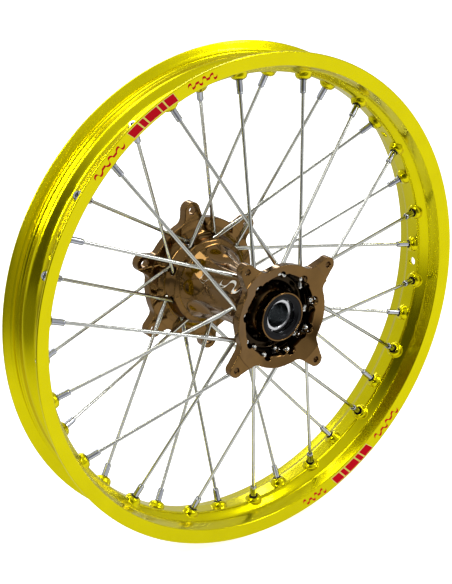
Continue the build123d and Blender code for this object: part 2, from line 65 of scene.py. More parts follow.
# ---------------------------------------------------------------- materials
class Shader:
    """A node tree that is built by short calls."""

    def __init__(self, name):
        self.material = bpy.data.materials.new(name)
        self.material.use_nodes = True
        self.tree = self.material.node_tree
        self.bsdf = self.tree.nodes["Principled BSDF"]

    def add(self, kind, **values):
        node = self.tree.nodes.new(kind)
        for key, value in values.items():
            if key in node.inputs:
                node.inputs[key].default_value = value
            else:
                setattr(node, key, value)
        return node

    def link(self, source, target):
        self.tree.links.new(source, target)

    def set(self, **values):
        for key, value in values.items():
            self.bsdf.inputs[key.replace("_", " ")].default_value = value
        return self

    def ramp(self, source, stops):
        node = self.add("ShaderNodeValToRGB")
        elements = node.color_ramp.elements
        while len(elements) < len(stops):
            elements.new(0.5)
        for element, (position, colour) in zip(elements, stops):
            element.position = position
            if not isinstance(colour, tuple):
                colour = (colour, colour, colour)
            element.color = (*colour, 1)
        self.link(source, node.inputs["Fac"])
        return node.outputs["Color"]

    def noise(self, scale, detail=3.0):
        place = self.add("ShaderNodeTexCoord")
        noise = self.add("ShaderNodeTexNoise", Scale=scale, Detail=detail)
        self.link(place.outputs["Object"], noise.inputs["Vector"])
        return noise.outputs["Fac"]

    def vary(self, socket, scale, low, high, detail=3.0):
        """Lets noise of some scale take an input of the surface from low to high."""
        mottle = self.ramp(self.noise(scale, detail), [(NOISE_LOW, low), (NOISE_HIGH, high)])
        self.link(mottle, self.bsdf.inputs[socket])

    def bump(self, scale, strength, detail=3.0):
        node = self.add("ShaderNodeBump", Strength=strength, Distance=GRAIN_DEPTH)
        self.link(self.noise(scale, detail), node.inputs["Height"])
        self.link(node.outputs["Normal"], self.bsdf.inputs["Normal"])


# Where the painted shade in the recess round the bearing boss starts and is full, from its inside and from
# its outside, in metres.
RECESS_R = ((0.0255, 0.0275), (0.0435, 0.0415))
RECESS_Y = ((-0.0630, -0.0600), (-0.0400, -0.0430))
# Colour of the painted shade in the recess round the bearing boss.
RECESS_SHADE_COLOUR = (0.02, 0.012, 0.004)


def paint_recess_shade(s):
    """Painted shade: the base colour darkened in the machined recess round the bearing boss, where shade
    falls.
    """
    axes = s.add("ShaderNodeSeparateXYZ")
    s.link(s.add("ShaderNodeTexCoord").outputs["Object"], axes.inputs[0])
    flat = s.add("ShaderNodeCombineXYZ")
    s.link(axes.outputs["X"], flat.inputs["X"])
    s.link(axes.outputs["Z"], flat.inputs["Z"])
    radius = s.add("ShaderNodeVectorMath", operation="LENGTH")
    s.link(flat.outputs[0], radius.inputs[0])
    mask = None
    for source, ends in ((radius.outputs["Value"], RECESS_R), (axes.outputs["Y"], RECESS_Y)):
        for outside, inside in ends:
            step = s.add("ShaderNodeMapRange")
            for socket, value in zip(step.inputs[1:5], (outside, inside, 0, 1)):
                socket.default_value = value
            s.link(source, step.inputs["Value"])
            if mask is None:
                mask = step.outputs["Result"]
                continue
            both = s.add("ShaderNodeMath", operation="MULTIPLY")
            s.link(mask, both.inputs[0])
            s.link(step.outputs["Result"], both.inputs[1])
            mask = both.outputs[0]
    mix = s.add("ShaderNodeMix", data_type="RGBA")
    s.link(mask, mix.inputs["Factor"])
    s.link(s.bsdf.inputs["Base Color"].links[0].from_socket, mix.inputs["A"])
    mix.inputs["B"].default_value = (*RECESS_SHADE_COLOUR, 1)
    s.link(mix.outputs["Result"], s.bsdf.inputs["Base Color"])


def anodised(name, dark, light, roughness, paint_shade=None):
    """Dyed and sealed aluminium: tinted metal under a thin clear layer."""
    s = Shader(name).set(Metallic=1.0, Coat_Weight=0.1, Coat_Roughness=0.06)
    s.vary("Base Color", 40, dark, light)
    s.vary("Roughness", 260, *roughness, detail=4)
    s.bump(1500, 0.006)
    # The extra step, where one is given, paints shade into the base colour.
    if paint_shade:
        paint_shade(s)
    return s.material


def metal(name, dark, light, roughness, edge=1.0, bump=0.05):
    """Bare or plated metal; edge is how bright it still is at a grazing angle."""
    s = Shader(name).set(Metallic=1.0, Specular_Tint=(edge, edge, edge, 1))
    s.vary("Base Color", 60, dark, light)
    s.vary("Roughness", 900, *roughness, detail=4)
    s.bump(900, bump)
    return s.material


def paint(name, colour, roughness):
    """The ink of a printed mark."""
    s = Shader(name).set(Base_Color=(*colour, 1), Specular_IOR_Level=0.06)
    s.vary("Roughness", 700, roughness - 0.05, roughness + 0.05)
    return s.material


def rubber(name):
    """Black oiled rubber."""
    s = Shader(name).set(Specular_IOR_Level=0.15)
    s.vary("Base Color", 90, (0.002, 0.002, 0.0025), (0.004, 0.004, 0.005))
    s.vary("Roughness", 500, 0.14, 0.2)
    s.bump(1400, 0.03)
    return s.material


def bright(name, dark, light, roughness):
    """Drawn or plated metal with a dark edge."""
    return metal(name, dark, light, roughness, edge=0.12, bump=0.01)


LOOKS = {
    "rim": anodised("yellow_anodised", (0.74, 0.66, 0.0), (0.78, 0.7, 0.0), (0.2, 0.22)),
    # The hub's material has painted shade in the recess round its bearing boss.
    "hub": anodised("bronze_anodised", (0.15, 0.083, 0.025), (0.2, 0.11, 0.034), (0.09, 0.12), paint_recess_shade),
    "spoke": bright("spoke_steel", (0.62, 0.63, 0.6), (0.74, 0.75, 0.72), (0.12, 0.15)),
    "nipple": bright("nipple_plating", (0.48, 0.5, 0.55), (0.6, 0.62, 0.68), (0.06, 0.1)),
    "bearing_steel": metal("race_steel", (0.55, 0.56, 0.58), (0.66, 0.67, 0.69), (0.16, 0.25)),
    "bearing_ball": metal("ball_steel", (0.7, 0.7, 0.72), (0.76, 0.76, 0.78), (0.04, 0.08)),
    "cage": metal("cage_steel", (0.4, 0.4, 0.4), (0.5, 0.5, 0.48), (0.3, 0.4)),
    "sleeve": metal("sleeve_alloy", (0.42, 0.44, 0.45), (0.52, 0.54, 0.55), (0.2, 0.25), bump=0.01),
    "spring_steel": metal("black_spring_steel", (0.06, 0.06, 0.065), (0.1, 0.1, 0.1), (0.3, 0.4)),
    "seal": rubber("seal_rubber"),
    "mark_red": paint("red_mark", (0.62, 0.0, 0.01), 0.5),
    "mark_pale": paint("pale_mark", (0.85, 0.8, 0.25), 0.35),
    "mark_white": paint("white_mark", (0.8, 0.8, 0.78), 0.4),
}
for part in frame["record"]["subparts"]:
    node = NODES[part["node"]]
    for slot in node.material_slots:
        slot.material = LOOKS[part["material_slot"]]


# All sizes from here to the stage are in mm and degrees. Pairs of spokes are 40 degrees apart at each flange.
PAIRS = 9
PAIR_STEP = 40
BOSS_TOP_R = 227.1
HUB_STEP = 0.5
HUB_FACET_ANGLE = 32.6
FLUTE_ANGLE = 12.6
FLUTE_AXIS_R = 59.5
FLUTE_R = 32.0
FLUTE_ENDS = (-14.0, 27.0)
# Angle of pair 0 and nipple y. Then for the trailing and the leading spoke: degrees past the pair, y where it
# crosses the radius CROSSING_R, and the distance from there to its head. Its nipple is NIPPLE_TURN past the
# pair, one way or the other.
CROSSING_R = 42
NIPPLE_TURN = 30
SPOKE_FAMILIES = (
    (2.6, -7.1, ((6.5, -57.0, 1.6), (-6.0, -50.1, -4.0))),
    (32.6, 2.9, ((8.9, 64.4, -5.5), (-4.9, 71.2, -2.5))),
)
# Radius, y and corner radius in mm, round the hub's solid half section.
HUB_OUTLINE = [
    (0, -66.8), (25.1, -66.8, 0.4), (25.1, -56.5, 4), (31.5, -49.5, 0.4), (31.5, -45.5, 1),
    (38.5, -45.5, 2), (42.0, -62.5), (51.0, -62.5), (51.6, -57.0, 1), (46.0, -46.5, 3), (33.0, -33.0, 14),
    (28.6, -4.0, 60), (30.5, 26.0, 30), (34.5, 44.0, 3), (39.0, 52.0, 2), (40.5, 54.8, 2.5),
    (45.6, 57.0, 1.0), (49.0, 70.0, 3.5), (56.0, 73.4, 2), (63.5, 73.4), (63.5, 83.3), (62.4, 83.3),
    (62.4, 87.0, 0.5), (52.0, 87.0, 1), (43.0, 74.4, 3), (36.0, 58.5, 3), (31.5, 58.5, 2), (27.4, 64.0, 3),
    (27.4, 80.6, 0.4), (0, 80.6),
]
# How nine-sided the bell is at each y.
FACET_Y = (44, 54, 64, 71)
FACET_SHARE = (0, 0.35, 0.35, 0)
HUB_BORES = [
    (0, -70), (23.5, -70), (23.5, -48), (19.5, -48), (19.5, 46.5), (23.5, 46.5), (23.5, 70.5), (24.6, 70.5),
    (24.6, 72.1), (23.5, 72.1), (23.5, 84), (0, 84),
]
# Each flange: its plate's radius, then the lugs' number, bolt circle radius, half width at the root, tip
# radius and ends along Y. Then the outline that bounds it, and the box it is worked in.
LUG_ANGLE = 37.6
DISC_FLANGE = (53.3, 4, 70.5, 15.0, 7.6, -69.0, -58.0)
DISC_FACES = [(41.0, -58.0), (95, -58.0), (95, -67.2), (60, -67.2), (60, -68.7, 0.4), (42.7, -63.4, 0.6)]
DISC_BOX = (-82, -71, -82), (82, -55, 82)
SPROCKET_FLANGE = (64.5, 6, 75.0, 13.0, 9.2, 73.4, 83.8)
SPROCKET_FACES = [(48, 70), (95, 70), (95, 86), (48, 86)]
SPROCKET_BOX = (-87, 70, -87), (87, 86, 87)
BORES_BOX = (-26, -71, -26), (26, 83, 26)
LUG_ROOT_INSET = 6.0
LUG_SOFT = 5.0
# Number of bolt holes, bolt circle radius, hole radius and ends along Y.
BOLT_HOLES = ((4, 70.5, 3.0, -71, -55), (6, 75.0, 4.1, 70, 88))
# Degrees past the pair and radius from the axle of the bites that let a spoke into the disc flange.
BITES = ((6.5, 41.6), (-6.0, 38.2))
BITE_R = 5.0
BITE_ENDS = (-75, -52)
# Radius of a spoke head's seat and of the spoke's way out, and how far each runs behind and ahead of it.
HEAD_SEAT = (4.1, 4.0, 2.0)
SPOKE_WAY = (3.3, 0.0, 30.0)

# ---------------------------------------------------------------- the hub
# The hub is sculpted as a field of signed distances in mm on a grid, negative inside, and then meshed.
HUB_LOW = np.array([-87.0, -70.5, -87.0])
HUB_HIGH = np.array([87.0, 89.0, 87.0])
FAR = 50.0


def soft_union(a, b, k):
    h = np.clip(0.5 + 0.5 * (b - a) / k, 0, 1)
    return b + (a - b) * h - k * h * (1 - h)


def fill(mesh, points, quads):
    """Puts points and four-sided faces into a mesh, smooth shaded."""
    mesh.vertices.add(len(points))
    mesh.vertices.foreach_set("co", np.asarray(points, np.float32).ravel())
    mesh.loops.add(quads.size)
    mesh.loops.foreach_set("vertex_index", np.ascontiguousarray(quads, np.int32).ravel())
    mesh.polygons.add(len(quads))
    mesh.polygons.foreach_set("loop_start", np.arange(0, quads.size, 4, dtype=np.int32))
    mesh.polygons.foreach_set("use_smooth", np.ones(len(quads), bool))
    mesh.update(calc_edges=True)
    mesh.validate()


def place(mesh, name, look, body, *stands_for):
    """Shows a mesh as a piece that rides on a body and stands for CAD nodes."""
    obj = bpy.data.objects.new(name, mesh)
    bpy.context.scene.collection.objects.link(obj)
    mesh.materials.append(LOOKS[look])
    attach(obj, body)
    if stands_for:
        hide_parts(*stands_for)
    return obj


def face_out(mesh):
    """Turns every face of a closed mesh outward."""
    work = bmesh.new()
    work.from_mesh(mesh)
    bmesh.ops.recalc_face_normals(work, faces=work.faces)
    work.to_mesh(mesh)
    work.free()


class Field:
    """Signed distances on a grid, with shapes added and cut in the part of the grid they touch."""

    def __init__(self, low, high, step):
        self.low, self.step = low, step
        counts = np.ceil((high - low) / step).astype(int) + 1
        self.axes = [(low[i] + step * np.arange(counts[i])).astype(np.float32) for i in range(3)]
        self.values = np.full(counts, FAR, np.float32)

    def window(self, low, high):
        cuts = []
        for axis, start, end in zip(self.axes, low, high):
            first, last = np.searchsorted(axis, (start, end))
            cuts.append(slice(max(0, first - 1), last + 1))
        x, y, z = (axis[cut] for axis, cut in zip(self.axes, cuts))
        return tuple(cuts), (x[:, None, None], y[None, :, None], z[None, None, :])

    def add(self, shape, low, high, soft=0.3):
        cuts, at = self.window(low, high)
        self.values[cuts] = soft_union(self.values[cuts], shape(*at), soft)

    def cut(self, shape, low, high, soft=0.3):
        cuts, at = self.window(low, high)
        self.values[cuts] = -soft_union(-self.values[cuts], shape(*at), soft)

    def mesh(self, name):
        grid = openvdb.FloatGrid(background=FAR)
        grid.copyFromArray(self.values)
        points, quads = grid.convertToQuads(isovalue=0.0)
        normals = self.slopes(points)
        mesh = bpy.data.meshes.new(name)
        fill(mesh, (points * self.step + self.low) * MM, quads)
        mesh.normals_split_custom_set_from_vertices(normals)
        return mesh

    def slopes(self, points):
        """Surface directions: the field's slope at each point, between its eight neighbours."""
        limit = np.array(self.values.shape) - 3
        base = np.clip(points.astype(int), 1, limit)
        part = (points - base).astype(np.float32)
        slope = np.zeros_like(points)
        for dx in (0, 1):
            for dy in (0, 1):
                for dz in (0, 1):
                    i, j, k = (base + (dx, dy, dz)).T
                    weight = (
                        (part[:, 0] if dx else 1 - part[:, 0])
                        * (part[:, 1] if dy else 1 - part[:, 1])
                        * (part[:, 2] if dz else 1 - part[:, 2])
                    )
                    v = self.values
                    step_x = v[i + 1, j, k] - v[i - 1, j, k]
                    step_y = v[i, j + 1, k] - v[i, j - 1, k]
                    step_z = v[i, j, k + 1] - v[i, j, k - 1]
                    slope += weight[:, None] * np.stack([step_x, step_y, step_z], axis=1)
        return slope / np.maximum(np.linalg.norm(slope, axis=1, keepdims=True), 1e-9)


def rounded(outline, steps=5):
    """Closed outline points from (a, b, corner radius) rows, each corner turned into an arc."""
    made = []
    for i, row in enumerate(outline):
        corner = np.array(row[:2], float)
        before = np.array(outline[i - 1][:2], float) - corner
        after = np.array(outline[(i + 1) % len(outline)][:2], float) - corner
        radius = row[2] if len(row) > 2 else 0
        if not radius:
            made.append(corner)
            continue
        u, v = before / np.linalg.norm(before), after / np.linalg.norm(after)
        half = np.arccos(np.clip(u @ v, -1, 1)) / 2
        reach = min(radius / np.tan(half), 0.49 * np.linalg.norm(before), 0.49 * np.linalg.norm(after))
        radius = reach * np.tan(half)
        centre = corner + (u + v) / np.linalg.norm(u + v) * radius / np.sin(half)
        start, end = corner + u * reach - centre, corner + v * reach - centre
        sweep = np.arctan2(start[0] * end[1] - start[1] * end[0], start @ end)
        for t in np.linspace(0, sweep, steps + 1):
            turn = np.array([[np.cos(t), -np.sin(t)], [np.sin(t), np.cos(t)]])
            made.append(centre + turn @ start)
    return np.array(made)


def outline_distance(points, a, b):
    """Signed distance of (a, b) from a closed outline, negative inside."""
    least = np.full(np.broadcast(a, b).shape, 1e9)
    inside = np.zeros(least.shape, bool)
    for start, end in zip(points, np.roll(points, -1, axis=0)):
        edge = end - start
        t = np.clip(((a - start[0]) * edge[0] + (b - start[1]) * edge[1]) / (edge @ edge), 0, 1)
        least = np.minimum(least, np.hypot(a - start[0] - t * edge[0], b - start[1] - t * edge[1]))
        if start[1] != end[1]:
            left_of = a < edge[0] * (b - start[1]) / edge[1] + start[0]
            inside ^= ((start[1] > b) != (end[1] > b)) & left_of
    return np.where(inside, -least, least)


def turned_shape(outline, facets=None):
    """A shape turned about the axle from (radius, y) rows; facets(y) is how nine-sided it is, 0 to 1."""
    points = rounded(outline)
    table_r = np.arange(0, 130, 0.3)

    def shape(x, y, z):
        radius = np.hypot(x, z)[:, 0, :]
        angle = np.degrees(np.arctan2(z, x))[:, 0, :]
        side = np.radians((angle - HUB_FACET_ANGLE) % PAIR_STEP - PAIR_STEP / 2)
        flat = np.cos(side) / cos(radians(PAIR_STEP / 2)) - 1
        table = outline_distance(points, table_r[:, None], y[0, :, 0][None, :])
        out = np.empty((x.shape[0], y.shape[1], z.shape[2]), np.float32)
        for j, level in enumerate(y[0, :, 0]):
            share = facets(level) if facets else 0.0
            out[:, j, :] = np.interp(radius * (1 + share * flat), table_r, table[:, j])
        return out

    return shape


def point_at(radius, degree, y):
    """The point at a radius and an angle about the axle."""
    return np.array([radius * cos(radians(degree)), y, radius * sin(radians(degree))])


def cut_rod(field, start, end, radius, margin, soft):
    """Cuts a round-ended rod out of a field."""
    along = end - start

    def shape(x, y, z):
        dx, dy, dz = x - start[0], y - start[1], z - start[2]
        t = np.clip((dx * along[0] + dy * along[1] + dz * along[2]) / (along @ along), 0, 1)
        gap = (dx - t * along[0]) ** 2 + (dy - t * along[1]) ** 2 + (dz - t * along[2]) ** 2
        return np.sqrt(gap) - radius

    both = np.array([start, end])
    field.cut(shape, both.min(0) - margin, both.max(0) + margin, soft)


def between(y, low, high):
    """How far y lies outside the slab from low to high."""
    return np.abs(y - (low + high) / 2) - (high - low) / 2


def cut_hole(field, pitch_r, degree, radius, low, high, soft):
    """Cuts a flat-ended round hole along Y out of a field."""
    cx, _, cz = point_at(pitch_r, degree, 0)
    reach = radius + 3

    def shape(x, y, z):
        return np.maximum(np.hypot(x - cx, z - cz) - radius, between(y, low, high))

    field.cut(shape, (cx - reach, low - 1, cz - reach), (cx + reach, high + 1, cz + reach), soft)


def add_flange(field, flange, faces, box, soft):
    """Adds a round plate with tapering lugs, bounded by a turned shape."""
    radius, lugs, pitch_r, root_half, tip_r, low, high = flange
    bounds = turned_shape(faces)

    def shape(x, y, z):
        outline = np.hypot(x, z) - radius
        root = radius - LUG_ROOT_INSET
        for number in range(lugs):
            angle = radians(LUG_ANGLE + 360 / lugs * number)
            along = x * cos(angle) + z * sin(angle)
            across = np.abs(z * cos(angle) - x * sin(angle))
            t = np.clip((along - root) / (pitch_r - root), 0, 1)
            width = root_half + (tip_r - root_half) * t
            lug = np.where(along < pitch_r, across - width, np.hypot(along - pitch_r, across) - tip_r)
            lug = np.maximum(lug, root * 0.4 - along)
            outline = soft_union(outline, lug, LUG_SOFT)
        return np.maximum(np.maximum(outline, between(y, low, high)), bounds(x, y, z))

    field.add(shape, *box, soft)


def spoke_lines():
    """Head centre, nipple seat point and direction of each spoke, in the order of the CAD's spokes."""
    lines = []
    for pair in range(PAIRS):
        for start_angle, nipple_y, crossings in SPOKE_FAMILIES:
            middle = start_angle + PAIR_STEP * pair
            for direction, (past, y, head) in zip((-1, 1), crossings):
                crossing = point_at(CROSSING_R, middle + past, y)
                at_rim = point_at(BOSS_TOP_R, middle + NIPPLE_TURN * direction, nipple_y)
                along = (at_rim - crossing) / np.linalg.norm(at_rim - crossing)
                lines.append((crossing + along * head, at_rim, along))
    return lines


def build_hub():
    field = Field(HUB_LOW, HUB_HIGH, HUB_STEP)

    def facets(y):
        return float(np.interp(y, FACET_Y, FACET_SHARE))

    field.add(turned_shape(HUB_OUTLINE, facets), HUB_LOW, HUB_HIGH)
    add_flange(field, DISC_FLANGE, DISC_FACES, DISC_BOX, 1.5)
    add_flange(field, SPROCKET_FLANGE, SPROCKET_FACES, SPROCKET_BOX, 2.0)
    field.cut(turned_shape(HUB_BORES), *BORES_BOX, 0.2)
    for number in range(PAIRS):
        degree = FLUTE_ANGLE + PAIR_STEP * number
        start, end = (point_at(FLUTE_AXIS_R, degree, y) for y in FLUTE_ENDS)
        cut_rod(field, start, end, FLUTE_R, FLUTE_R + 2, 0.6)
    for number in range(PAIRS):
        for past, radius in BITES:
            degree = SPOKE_FAMILIES[0][0] + PAIR_STEP * number + past
            cut_hole(field, radius, degree, BITE_R, *BITE_ENDS, 0.5)
    for head, _, along in spoke_lines():
        for radius, behind, ahead in (HEAD_SEAT, SPOKE_WAY):
            cut_rod(field, head - along * behind, head + along * ahead, radius, radius + 3, 0.4)
    for holes, pitch_r, radius, low, high in BOLT_HOLES:
        for number in range(holes):
            cut_hole(field, pitch_r, LUG_ANGLE + 360 / holes * number, radius, low, high, 0.8)
    return place(field.mesh("hub_body"), "hub_body", "hub", "wheel", "hub")


# ---------------------------------------------------------------- the rim
RIM_COLUMNS = 648
FIRST_NIPPLE_ANGLE = 2.6
HALF_SECTION = [
    (231.3, 9.0, 5), (239.0, 17.2, 5), (241.2, 31.3, 1.2), (255.5, 33.5, 1.2), (255.5, 31.2, 0.9),
    (243.6, 27.3, 1.4), (243.6, 24.9, 0.4), (244.9, 24.0, 0.5), (243.2, 22.6, 0.4), (242.7, 15.2, 2.0),
    (234.5, 8.0, 4),
]
INNER_ROWS = np.arange(-21, 21.1, 1.5)
OUTER_ROWS = np.arange(-19.5, 19.6, 1.5)
NIPPLE_WINDOW = (14, 10)
HOLE_WINDOW = (8, 6)
# Distances from a nipple's axis at which the skin round it has a ring of points.
NIPPLE_RINGS = (9.3, 8.9, 8.6, 8.3, 8.0, 7.6, 7.2, 6.7, 6.2, 5.6, 5.0, 4.5, 3.75)
HOLE_RINGS = (5.4, 4.7)
BOSS_FLAT_R = 4.7
BOSS_EDGE_R = 8.6
BOSS_DEPTH = 5.6
FLOOR_R = 231.3
FLOOR_DEPTH = 4.4
SKIN_GAP = 7.4
DIMPLE_BED = 5.2
# Angle and radius of the valve's hole and of the rim locks' two holes.
RIM_HOLES = ((37.6, 4.15), (-2.4, 4.3), (157.6, 4.3))
# A depth at which no boss is left, for a plain hole in the floor.
NO_BOSS_DEPTH = 60.0
LONGEST_FLANK_FACE = 2.6


def rim_sides():
    """The rounded half section, out along the hub side from the mid-plane and back along the tyre side."""
    full = HALF_SECTION + [(r, -y, corner) for r, y, corner in reversed(HALF_SECTION)]
    points = rounded(full, 6)
    half = points[points[:, 1] > 0]
    lip = int(np.argmax(half[:, 0] * 1000 + half[:, 1]))
    return half[: lip + 1], half[lip:]


def radius_at(side, y):
    """The radius of one side of the section at a distance from the mid-plane."""
    order = np.argsort(side[:, 1])
    return np.interp(np.abs(y), side[order, 1], side[order, 0])


def divided(points, longest):
    """The same line with no piece longer than longest."""
    made = [points[0]]
    for start, end in zip(points[:-1], points[1:]):
        count = max(1, int(np.ceil(np.linalg.norm(end - start) / longest)))
        made += [start + (end - start) * step / count for step in range(1, count + 1)]
    return np.array(made)


def polar(radius, angle, y):
    """Points from their radius and angle about the axle and their place along it."""
    y = np.broadcast_to(y, np.shape(angle))
    return np.stack([radius * np.cos(angle), y, radius * np.sin(angle)], axis=-1)


def boss_depth(rho):
    """How far behind its flat top the outside of a nipple boss lies."""
    edge = np.clip((rho - BOSS_FLAT_R) / (BOSS_EDGE_R - BOSS_FLAT_R), 0, 1)
    return BOSS_DEPTH * (1 - np.sqrt(1.001 - edge**2)) + 12.0 * np.maximum(rho - BOSS_EDGE_R, 0)


def no_boss(rho):
    """Where there is a plain hole in the floor."""
    return np.full(len(rho), NO_BOSS_DEPTH)


def dimple_depth(rho):
    """How far behind the boss top the dimple for a nipple's head lies."""
    return DIMPLE_BED + np.clip((rho - 3.6) / 1.6, 0, 1) + 1.8 * np.maximum(rho - 5.2, 0)


def skin_depth(side, top, along, offset):
    """How far along an axis from its top the plain skin lies, for offsets square to the axis."""
    depth = np.full(len(offset), FLOOR_DEPTH)
    rise = along @ (top * (1, 0, 1)) / hypot(top[0], top[2])
    for _ in range(10):
        at = top + offset + depth[:, None] * along
        depth += (radius_at(side, at[:, 1]) - np.hypot(at[:, 0], at[:, 2])) / rise
    return depth


def band(one, two):
    """Faces between two closed rows of point numbers."""
    return np.stack([one, np.roll(one, -1), np.roll(two, -1), two], axis=1)


class RimSkin:
    """The points and four-sided faces of the rim, gathered row by row."""

    def __init__(self):
        self.points, self.quads, self.count = [], [], 0

    def add(self, points):
        first = self.count
        self.points.append(np.asarray(points, float).reshape(-1, 3))
        self.count += len(self.points[-1])
        return first

    def strip(self, one, two):
        """Faces between two closed rows of point numbers."""
        self.quads.append(band(one, two))


def window_border(first_row, first_column, rows, columns):
    """Row and column of each grid point round a window, from its first corner."""
    steps = [(0, c) for c in range(columns)] + [(r, columns) for r in range(rows)]
    steps += [(rows, columns - c) for c in range(columns)] + [(rows - r, 0) for r in range(rows)]
    return [(first_row + r, first_column + c) for r, c in steps]


def build_rim():
    inner_side, outer_side = rim_sides()
    skin = RimSkin()
    angles = np.radians(FIRST_NIPPLE_ANGLE) + 2 * pi * np.arange(RIM_COLUMNS) / RIM_COLUMNS
    flank_low = inner_side[inner_side[:, 1] > INNER_ROWS[-1] + 0.3]
    flank_high = outer_side[outer_side[:, 1] > OUTER_ROWS[-1] + 0.3]
    flank = divided(np.concatenate([flank_low, flank_high[1:]]), LONGEST_FLANK_FACE)
    inner = np.stack([radius_at(inner_side, INNER_ROWS), INNER_ROWS], axis=1)
    outer = np.stack([radius_at(outer_side, OUTER_ROWS), OUTER_ROWS], axis=1)
    section = np.concatenate([inner, flank, outer[::-1], flank[::-1] * (1, -1)])
    grid = np.empty((len(section), RIM_COLUMNS), int)
    for row, (radius, y) in enumerate(section):
        grid[row] = skin.add(polar(radius, angles, y)) + np.arange(RIM_COLUMNS)
    open_cells = np.zeros(grid.shape, bool)
    outer_first = len(inner) + len(flank)

    def opening(inside, top, along, depth, soft, rings, window):
        """Cuts a window in one skin and fills it with rings of faces down to a round hole."""
        rows, columns = window
        skin_rows = INNER_ROWS if inside else OUTER_ROWS
        side = inner_side if inside else outer_side
        middle = top + along * (FLOOR_DEPTH if inside else SKIN_GAP)
        nearest = int(np.argmin(np.abs(skin_rows - middle[1])))
        centre_row = nearest if inside else outer_first + len(skin_rows) - 1 - nearest
        turn = (degrees(atan2(middle[2], middle[0])) - FIRST_NIPPLE_ANGLE) / 360 * RIM_COLUMNS
        first_row, first_column = centre_row - rows // 2, round(turn) - columns // 2
        for step in range(columns):
            open_cells[first_row : first_row + rows, (first_column + step) % RIM_COLUMNS] = True
        border = window_border(first_row, first_column, rows, columns)
        border_rows = np.array([row for row, _ in border])
        border_columns = np.array([column % RIM_COLUMNS for _, column in border])
        edge = polar(section[border_rows, 0], angles[border_columns], section[border_rows, 1]) - top
        edge -= (edge @ along)[:, None] * along
        reach = np.linalg.norm(edge, axis=1)
        outward = edge / reach[:, None]
        previous = grid[border_rows, border_columns]
        for number in range(-1, len(rings)):
            rho = np.full(len(border), rings[max(number, 0)])
            if number < 0:
                rho = (rho + reach) / 2
            offset = outward * rho[:, None]
            plain = skin_depth(side, top, along, offset)
            deep = soft_union(plain, depth(rho), soft)
            ring = skin.add(top + offset + deep[:, None] * along) + np.arange(len(border))
            skin.strip(previous, ring)
            previous = ring
        return previous

    def through(low, high, window):
        """Joins the rims of a hole in the two skins."""
        rows, columns = window
        matching = (2 * columns + rows - np.arange(len(high))) % len(high)
        skin.strip(low, high[matching])

    for _, top, along in spoke_lines():
        low = opening(True, top, along, boss_depth, 1.5, NIPPLE_RINGS, NIPPLE_WINDOW)
        high = opening(False, top, along, dimple_depth, 0.7, NIPPLE_RINGS, NIPPLE_WINDOW)
        through(low, high, NIPPLE_WINDOW)
    for angle, hole_r in RIM_HOLES:
        along = np.array([cos(radians(angle)), 0, sin(radians(angle))])
        top = along * (FLOOR_R - FLOOR_DEPTH)
        rings = (*HOLE_RINGS, hole_r)
        low = opening(True, top, along, no_boss, 0.1, rings, HOLE_WINDOW)
        high = opening(False, top, along, no_boss, 0.1, rings, HOLE_WINDOW)
        through(low, high, HOLE_WINDOW)
    below, above = grid, np.roll(grid, -1, axis=0)
    cells = np.stack([below, np.roll(below, -1, axis=1), np.roll(above, -1, axis=1), above], axis=-1)
    skin.quads.append(cells[~open_cells])
    mesh = bpy.data.meshes.new("rim_body")
    fill(mesh, np.concatenate(skin.points) * MM, np.concatenate(skin.quads))
    face_out(mesh)
    return place(mesh, "rim_body", "rim", "wheel", "rim")


# ---------------------------------------------------------------- small pieces on the rim and hub
# Section of the black ring of painted shade in the gap round each nipple, as (radius, distance along the
# nipple) rows.
RING_SECTION = [(3.18, -0.35), (3.5, -0.6), (4.0, -0.6), (4.45, -0.25), (4.5, 0.5), (3.18, 0.5)]
RING_STEPS = 32
NIPPLE_OUT = 13.0
COLLAR_SECTION = [(2.2, -0.7), (2.75, -0.8), (3.15, -0.2), (3.15, 0.8), (2.75, 1.3), (2.2, 1.2)]
KNURL_RIBS = 900
KNURL_HEIGHT = 0.07
KNURL_R = (244.4, 244.9, 246.8, 248.8, 249.3)
KNURL_VALLEY = 0.02
KNURL_SUNK = 0.8
KNURL_WALL = ((243.6, 27.3), (255.5, 31.2))
STRIP_WALL = ((241.2, 31.3), (255.5, 33.5))
STRIP_MIDDLE_R = 248.6
# Start and end angle of each mark on the near flange, and how it is drawn.
DECALS = (
    (319.0, 309.5, "stroke"), (307.0, 294.0, "bars"), (291.0, 283.75, "stroke"),
    (138.75, 129.0, "stroke"), (126.75, 113.75, "bars"), (110.25, 102.5, "stroke"),
)
BAR_WIDTHS = (0.22, 0.1, 0.26, 0.1, 0.2)
# Half height, lean in degrees and lift of a red bar and of its pale edge, and the edge's width in degrees.
BAR_RED = (4.8, 0.36, 0.07)
BAR_PALE = (5.3, 0.4, 0.04)
BAR_EDGE = 0.13
# Half height, line width, waves and lift of a stroke on the flange.
STROKE = (3.4, 2.4, 4, 0.07)
# Start and end y, middle angle, half height in degrees, waves and line width of each mark on the barrel.
BARREL_MARKS = ((36.0, 26.0, 140.0, 14.0, 0.5, 3.0), (8.0, -24.0, 136.0, 10.0, 1.5, 3.2))
BARREL_R = 32.0
BARREL_MARK_LIFT = 0.12
# A radius outside the hub, from which the barrel is looked for.
OUTSIDE_R = 90


def rings_on(axes, section, steps=RING_STEPS):
    """Points and faces of one turned ring about each axis, from (radius, distance along it) rows."""
    points, quads, first = [], [], 0
    turn = 2 * pi * np.arange(steps) / steps
    for origin, along in axes:
        side = np.cross(along, (0.0, 1.0, 0.0))
        side /= np.linalg.norm(side)
        other = np.cross(along, side)
        round_it = np.cos(turn)[:, None] * side + np.sin(turn)[:, None] * other
        rows = []
        for radius, ahead in section:
            points.append(origin + along * ahead + round_it * radius)
            rows.append(first + np.arange(steps))
            first += steps
        for row, after in zip(rows, rows[1:] + rows[:1]):
            quads.append(band(row, after))
    return np.concatenate(points), np.concatenate(quads)


